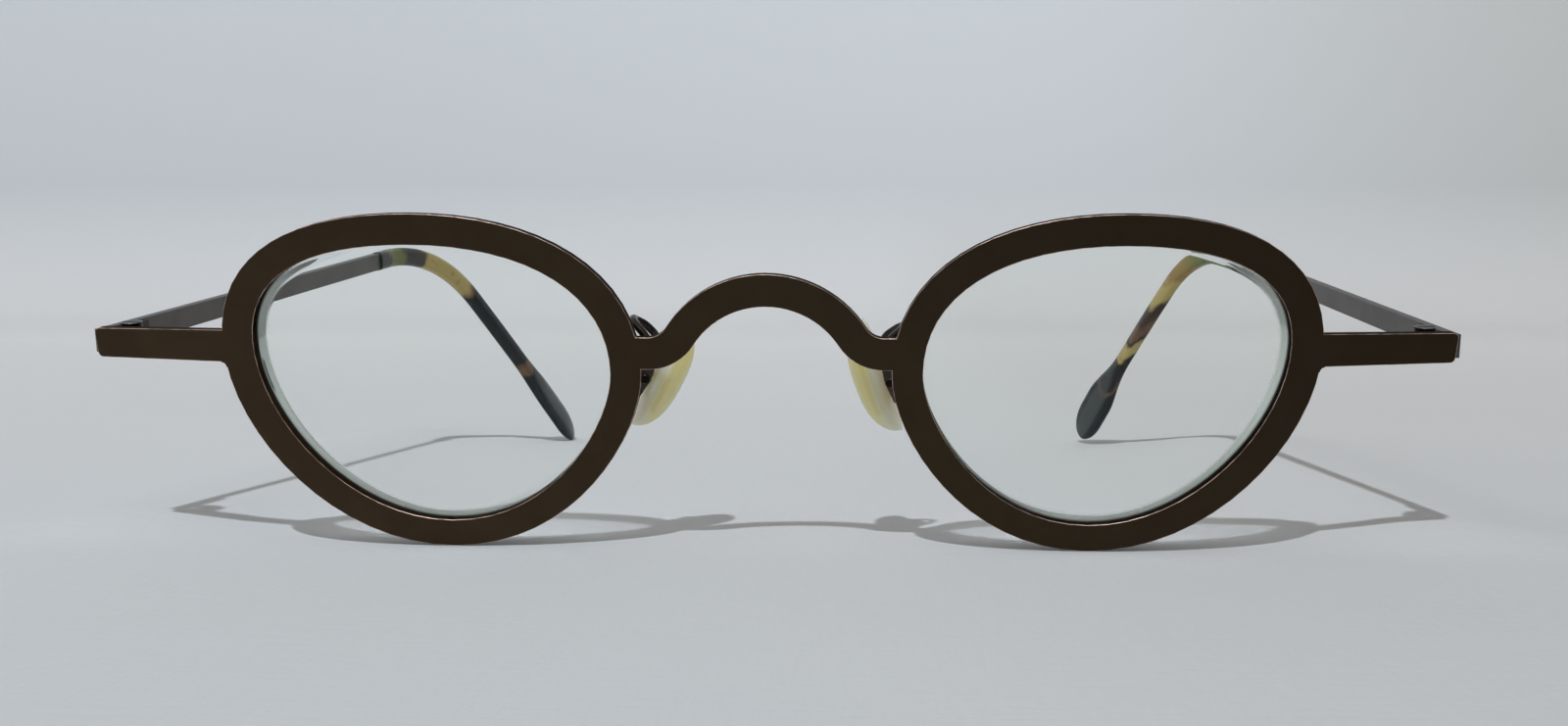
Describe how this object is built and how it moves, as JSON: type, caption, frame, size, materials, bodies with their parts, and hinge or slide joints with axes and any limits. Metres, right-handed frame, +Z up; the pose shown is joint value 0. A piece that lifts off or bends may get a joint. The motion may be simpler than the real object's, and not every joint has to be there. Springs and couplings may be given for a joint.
{
  "type": "eyeglass frame",
  "caption": "Flat metal spectacle frame with slanted oval rims, an arched bridge, rocking nose pads and straight hinged temples with curved acetate tips.",
  "frame": {"origin": "middle of the footprint on the surface that the frame stands on, resting on both rims and the left tip, with the hand-bent right tip less than 0.5 mm above it", "axes": "+X to the right seen from the front, +Y backwards from the front to the tips, +Z up"},
  "size_m": [0.1386, 0.126, 0.0344],
  "materials": {
    "front_finish": "dark bronze, satin",
    "frame_metal": "dark grey-brown, satin",
    "temple_metal": "grey-brown, satin",
    "arm_wire": "dark bronze, satin",
    "screw_steel": "dull steel",
    "insert_metal": "dull steel",
    "lens_glass": "clear",
    "pad_silicone": "translucent honey",
    "tip_acetate": "mottled tortoiseshell, polished"
  },
  "bodies": {
    "front": {"front_plate": "front_finish", "left_eyewire": "frame_metal", "left_lens": "lens_glass", "left_rim_lock_upper": "frame_metal", "left_rim_lock_lower": "frame_metal", "left_rim_lock_screw": "screw_steel", "left_pad_arm": "arm_wire", "left_pad_box": "arm_wire", "left_pad_screw": "screw_steel", "left_hinge_front": "frame_metal", "left_hinge_screw": "screw_steel", "right_eyewire": "frame_metal", "right_lens": "lens_glass", "right_rim_lock_upper": "frame_metal", "right_rim_lock_lower": "frame_metal", "right_rim_lock_screw": "screw_steel", "right_pad_arm": "arm_wire", "right_pad_box": "arm_wire", "right_pad_screw": "screw_steel", "right_hinge_front": "frame_metal", "right_hinge_screw": "screw_steel"},
    "left_temple": {"left_hinge_temple": "frame_metal", "left_temple": "temple_metal", "left_temple_tip": "tip_acetate"},
    "right_temple": {"right_hinge_temple": "frame_metal", "right_temple": "temple_metal", "right_temple_tip": "tip_acetate"},
    "left_pad": {"left_nose_pad": "pad_silicone", "left_pad_insert": "insert_metal"},
    "right_pad": {"right_nose_pad": "pad_silicone", "right_pad_insert": "insert_metal"}
  },
  "joints": [
    {"name": "right_temple_fold", "type": "hinge", "parent": "front", "child": "right_temple", "pos_m": [0.06633, -0.05748, 0.02159], "axis": [0, -0.1765, 0.9843], "range_deg": [0, 79]},
    {"name": "left_temple_fold", "type": "hinge", "parent": "front", "child": "left_temple", "pos_m": [-0.06633, -0.05748, 0.02159], "axis": [0, 0.1765, -0.9843], "range_deg": [0, 72]},
    {"name": "right_pad_rock", "type": "hinge", "parent": "front", "child": "right_pad", "pos_m": [0.0127, -0.05236, 0.01737], "axis": [0.1316, 0.9667, 0.2194], "range_deg": [-8, 8]},
    {"name": "left_pad_rock", "type": "hinge", "parent": "front", "child": "left_pad", "pos_m": [-0.0134, -0.05241, 0.01766], "axis": [-0.1229, 0.9632, 0.2391], "range_deg": [-8, 8]}
  ]
}
